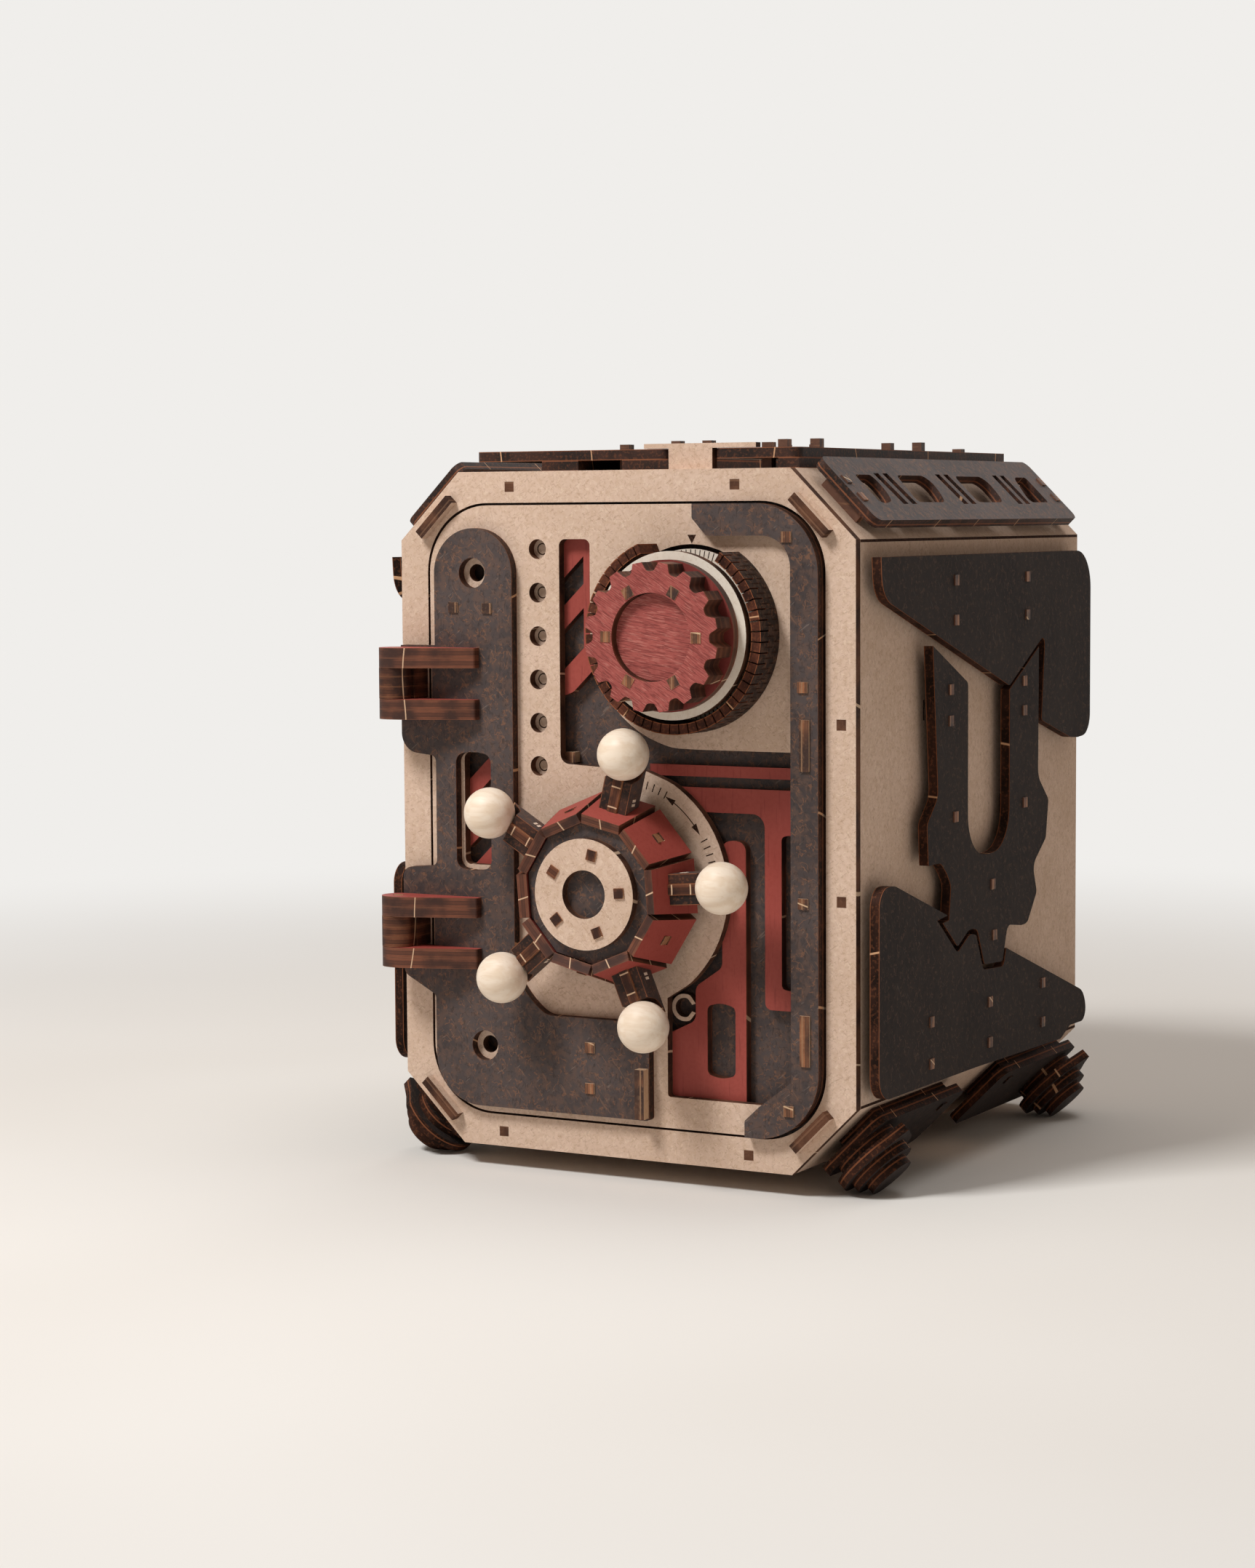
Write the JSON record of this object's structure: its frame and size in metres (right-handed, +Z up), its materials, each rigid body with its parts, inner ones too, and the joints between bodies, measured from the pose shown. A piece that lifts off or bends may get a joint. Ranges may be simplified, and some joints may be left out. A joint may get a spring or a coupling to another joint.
{
  "type": "wooden mechanical safe kit",
  "caption": "Laser-cut wooden combination safe: octagonal case on disc feet, hinged door with a ball-spoked handwheel driving rack bolts, and a serrated dial with code wheels.",
  "frame": {"origin": "centre of the bounding box at the ground, under the feet", "axes": "+Z up, the door faces -Y, +X to the right of someone facing the door"},
  "size_m": [0.1702, 0.195, 0.2172],
  "materials": {
    "light_board": "light fibreboard, fine flecks, burnt edges",
    "dark_board": "dark fibreboard with copper flecks",
    "red_plywood": "red-stained plywood",
    "plain_plywood": "bare plywood with burnt edges",
    "ball_wood": "turned pale wood"
  },
  "bodies": {
    "case": {"front_frame": "light_board", "stop_frame": "dark_board", "back_panel": "light_board", "top_bottom_panels": "light_board", "side_panels": "light_board", "corner_panels": "light_board", "top_bottom_skins": "light_board", "side_skins": "light_board", "corner_skins": "light_board", "upper_side_plates": "dark_board", "middle_side_plates": "dark_board", "lower_side_plates": "dark_board", "louvre_plates": "dark_board", "plate_mounts": "plain_plywood", "foot_base_plates": "dark_board", "foot_drop_plates": "dark_board", "foot_discs": "dark_board", "roof_plates": "dark_board", "top_crest": "light_board", "hinge_knuckles": "plain_plywood", "hinge_pins": "ball_wood"},
    "door": {"door_panel": "light_board", "hole_strip": "light_board", "stripe_plate": "red_plywood", "hook_plate": "red_plywood", "slot_plate": "red_plywood", "thin_bar": "red_plywood", "peg_ring": "plain_plywood", "door_back_plate": "dark_board", "hinge_trim": "dark_board", "lock_trim": "dark_board", "hinge_arms": "red_plywood", "trim_tabs": "plain_plywood", "dial_guard": "dark_board", "lock_walls": "light_board", "lock_cover": "light_board", "bolt_guides": "light_board", "bearing_rings": "plain_plywood"},
    "handwheel": {"wheel_face_ring": "light_board", "wheel_hub_plates": "dark_board", "wheel_facets": "red_plywood", "spoke_cores": "plain_plywood", "spoke_sides": "dark_board", "wheel_balls": "ball_wood", "wheel_shaft": "ball_wood", "pinion": "plain_plywood"},
    "dial": {"dial_face_ring": "red_plywood", "dial_tabs": "plain_plywood", "dial_centre_disc": "red_plywood", "dial_red_disc": "red_plywood", "dial_rim_ring": "light_board", "dial_hub": "dark_board", "scale_disc": "light_board", "dial_shaft": "ball_wood", "drive_wheel": "light_board"},
    "code_wheel_one": {"code_wheel_front": "light_board"},
    "code_wheel_two": {"code_wheel_back": "light_board"},
    "bolt_work": {"bolt_bar": "light_board", "bolts": "plain_plywood", "fence": "light_board"}
  },
  "joints": [
    {"name": "door_hinge", "type": "hinge", "parent": "case", "child": "door", "pos_m": [-0.0722, -0.0809, 0.1456], "axis": [0, 0, -1], "range_deg": [0, 110]},
    {"name": "handwheel_turn", "type": "hinge", "parent": "door", "child": "handwheel", "pos_m": [-0.0006, -0.0725, 0.08679], "axis": [0, -1, 0], "range_deg": [0, 50]},
    {"name": "bolt_slide", "type": "slide", "parent": "door", "child": "bolt_work", "axis": [1, 0, 0], "range_m": [0, 0.0072]},
    {"name": "dial_turn", "type": "hinge", "parent": "door", "child": "dial", "pos_m": [0.0232, -0.0725, 0.16079], "axis": [0, -1, 0], "continuous": true},
    {"name": "code_turn_one", "type": "hinge", "parent": "door", "child": "code_wheel_one", "pos_m": [0.0232, -0.0725, 0.16079], "axis": [0, -1, 0], "continuous": true},
    {"name": "code_turn_two", "type": "hinge", "parent": "door", "child": "code_wheel_two", "pos_m": [0.0232, -0.0725, 0.16079], "axis": [0, -1, 0], "continuous": true}
  ],
  "couplings": [
    {"joint": "bolt_slide", "follows": "handwheel_turn", "m_per_rad": 0.008},
    {"joint": "code_turn_one", "follows": "dial_turn", "ratio": 1},
    {"joint": "code_turn_two", "follows": "dial_turn", "ratio": 1}
  ]
}
